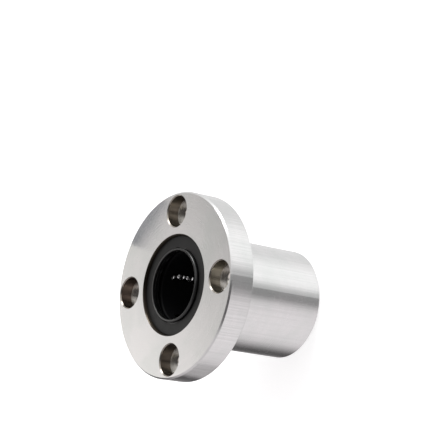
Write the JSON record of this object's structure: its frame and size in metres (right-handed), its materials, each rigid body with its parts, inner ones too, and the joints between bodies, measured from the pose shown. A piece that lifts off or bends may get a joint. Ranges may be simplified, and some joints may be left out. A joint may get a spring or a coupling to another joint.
{
  "type": "linear ball bushing",
  "caption": "Round-flanged linear ball bushing for a 20 mm shaft, with recirculating ball circuits, wiper seals and counterbored bolt holes.",
  "frame": {"origin": "on the bore axis, in the plane of the flange's seating face", "axes": "+Z along the bore, out of the flange's front face, with the barrel along -Z; +X and +Y each through a bolt hole"},
  "size_m": [0.054, 0.054, 0.042],
  "materials": {
    "bearing_steel": "fine turned and ground, bright",
    "ball_steel": "polished",
    "retainer_resin": "moulded, satin",
    "seal_rubber": "smooth moulded nitrile rubber",
    "spring_steel": "plain spring steel"
  },
  "bodies": {
    "sleeve": {"flanged_sleeve": "bearing_steel", "ball_retainer": "retainer_resin", "front_seal": "seal_rubber", "rear_seal": "seal_rubber", "front_retaining_ring": "spring_steel", "rear_retaining_ring": "spring_steel"},
    "loaded_row_1": {"load_balls_1": "ball_steel"},
    "return_row_1": {"return_balls_1": "ball_steel"},
    "front_turn_1": {"front_turn_balls_1": "ball_steel"},
    "rear_turn_1": {"rear_turn_balls_1": "ball_steel"},
    "loaded_row_2": {"load_balls_2": "ball_steel"},
    "return_row_2": {"return_balls_2": "ball_steel"},
    "front_turn_2": {"front_turn_balls_2": "ball_steel"},
    "rear_turn_2": {"rear_turn_balls_2": "ball_steel"},
    "loaded_row_3": {"load_balls_3": "ball_steel"},
    "return_row_3": {"return_balls_3": "ball_steel"},
    "front_turn_3": {"front_turn_balls_3": "ball_steel"},
    "rear_turn_3": {"rear_turn_balls_3": "ball_steel"},
    "loaded_row_4": {"load_balls_4": "ball_steel"},
    "return_row_4": {"return_balls_4": "ball_steel"},
    "front_turn_4": {"front_turn_balls_4": "ball_steel"},
    "rear_turn_4": {"rear_turn_balls_4": "ball_steel"},
    "loaded_row_5": {"load_balls_5": "ball_steel"},
    "return_row_5": {"return_balls_5": "ball_steel"},
    "front_turn_5": {"front_turn_balls_5": "ball_steel"},
    "rear_turn_5": {"rear_turn_balls_5": "ball_steel"}
  },
  "joints": [
    {"name": "loaded_row_travel_1", "type": "slide", "parent": "sleeve", "child": "loaded_row_1", "axis": [0, 0, 1], "range_m": [-0.0016, 0.0016]},
    {"name": "return_row_travel_1", "type": "slide", "parent": "sleeve", "child": "return_row_1", "axis": [0, 0, 1], "range_m": [-0.00161, 0.00161]},
    {"name": "front_turn_travel_1", "type": "hinge", "parent": "sleeve", "child": "front_turn_1", "pos_m": [0.01103, 0.00424, -0.0002], "axis": [0.9514, 0.1671, -0.2588], "range_deg": [-45.3, 45.3]},
    {"name": "rear_turn_travel_1", "type": "hinge", "parent": "sleeve", "child": "rear_turn_1", "pos_m": [0.01103, 0.00424, -0.0258], "axis": [0.9514, 0.1671, 0.2588], "range_deg": [-45.3, 45.3]},
    {"name": "loaded_row_travel_2", "type": "slide", "parent": "sleeve", "child": "loaded_row_2", "axis": [0, 0, 1], "range_m": [-0.0016, 0.0016]},
    {"name": "return_row_travel_2", "type": "slide", "parent": "sleeve", "child": "return_row_2", "axis": [0, 0, 1], "range_m": [-0.00161, 0.00161]},
    {"name": "front_turn_travel_2", "type": "hinge", "parent": "sleeve", "child": "front_turn_2", "pos_m": [-0.00063, 0.0118, -0.0002], "axis": [0.1351, 0.9564, -0.2588], "range_deg": [-45.3, 45.3]},
    {"name": "rear_turn_travel_2", "type": "hinge", "parent": "sleeve", "child": "rear_turn_2", "pos_m": [-0.00063, 0.0118, -0.0258], "axis": [0.1351, 0.9564, 0.2588], "range_deg": [-45.3, 45.3]},
    {"name": "loaded_row_travel_3", "type": "slide", "parent": "sleeve", "child": "loaded_row_3", "axis": [0, 0, 1], "range_m": [-0.0016, 0.0016]},
    {"name": "return_row_travel_3", "type": "slide", "parent": "sleeve", "child": "return_row_3", "axis": [0, 0, 1], "range_m": [-0.00161, 0.00161]},
    {"name": "front_turn_travel_3", "type": "hinge", "parent": "sleeve", "child": "front_turn_3", "pos_m": [-0.01141, 0.00305, -0.0002], "axis": [-0.8679, 0.424, -0.2588], "range_deg": [-45.3, 45.3]},
    {"name": "rear_turn_travel_3", "type": "hinge", "parent": "sleeve", "child": "rear_turn_3", "pos_m": [-0.01141, 0.00305, -0.0258], "axis": [-0.8679, 0.424, 0.2588], "range_deg": [-45.3, 45.3]},
    {"name": "loaded_row_travel_4", "type": "slide", "parent": "sleeve", "child": "loaded_row_4", "axis": [0, 0, 1], "range_m": [-0.0016, 0.0016]},
    {"name": "return_row_travel_4", "type": "slide", "parent": "sleeve", "child": "return_row_4", "axis": [0, 0, 1], "range_m": [-0.00161, 0.00161]},
    {"name": "front_turn_travel_4", "type": "hinge", "parent": "sleeve", "child": "front_turn_4", "pos_m": [-0.00643, -0.00991, -0.0002], "axis": [-0.6715, -0.6944, -0.2588], "range_deg": [-45.3, 45.3]},
    {"name": "rear_turn_travel_4", "type": "hinge", "parent": "sleeve", "child": "rear_turn_4", "pos_m": [-0.00643, -0.00991, -0.0258], "axis": [-0.6715, -0.6944, 0.2588], "range_deg": [-45.3, 45.3]},
    {"name": "loaded_row_travel_5", "type": "slide", "parent": "sleeve", "child": "loaded_row_5", "axis": [0, 0, 1], "range_m": [-0.0016, 0.0016]},
    {"name": "return_row_travel_5", "type": "slide", "parent": "sleeve", "child": "return_row_5", "axis": [0, 0, 1], "range_m": [-0.00161, 0.00161]},
    {"name": "front_turn_travel_5", "type": "hinge", "parent": "sleeve", "child": "front_turn_5", "pos_m": [0.00744, -0.00917, -0.0002], "axis": [0.4529, -0.8532, -0.2588], "range_deg": [-45.3, 45.3]},
    {"name": "rear_turn_travel_5", "type": "hinge", "parent": "sleeve", "child": "rear_turn_5", "pos_m": [0.00744, -0.00917, -0.0258], "axis": [0.4529, -0.8532, 0.2588], "range_deg": [-45.3, 45.3]}
  ],
  "couplings": [
    {"joint": "return_row_travel_1", "follows": "loaded_row_travel_1", "ratio": -1},
    {"joint": "front_turn_travel_1", "follows": "loaded_row_travel_1", "rad_per_m": -490.87},
    {"joint": "rear_turn_travel_1", "follows": "loaded_row_travel_1", "rad_per_m": -490.87},
    {"joint": "return_row_travel_2", "follows": "loaded_row_travel_2", "ratio": -1},
    {"joint": "front_turn_travel_2", "follows": "loaded_row_travel_2", "rad_per_m": -490.87},
    {"joint": "rear_turn_travel_2", "follows": "loaded_row_travel_2", "rad_per_m": -490.87},
    {"joint": "return_row_travel_3", "follows": "loaded_row_travel_3", "ratio": -1},
    {"joint": "front_turn_travel_3", "follows": "loaded_row_travel_3", "rad_per_m": -490.87},
    {"joint": "rear_turn_travel_3", "follows": "loaded_row_travel_3", "rad_per_m": -490.87},
    {"joint": "return_row_travel_4", "follows": "loaded_row_travel_4", "ratio": -1},
    {"joint": "front_turn_travel_4", "follows": "loaded_row_travel_4", "rad_per_m": -490.87},
    {"joint": "rear_turn_travel_4", "follows": "loaded_row_travel_4", "rad_per_m": -490.87},
    {"joint": "return_row_travel_5", "follows": "loaded_row_travel_5", "ratio": -1},
    {"joint": "front_turn_travel_5", "follows": "loaded_row_travel_5", "rad_per_m": -490.87},
    {"joint": "rear_turn_travel_5", "follows": "loaded_row_travel_5", "rad_per_m": -490.87}
  ]
}
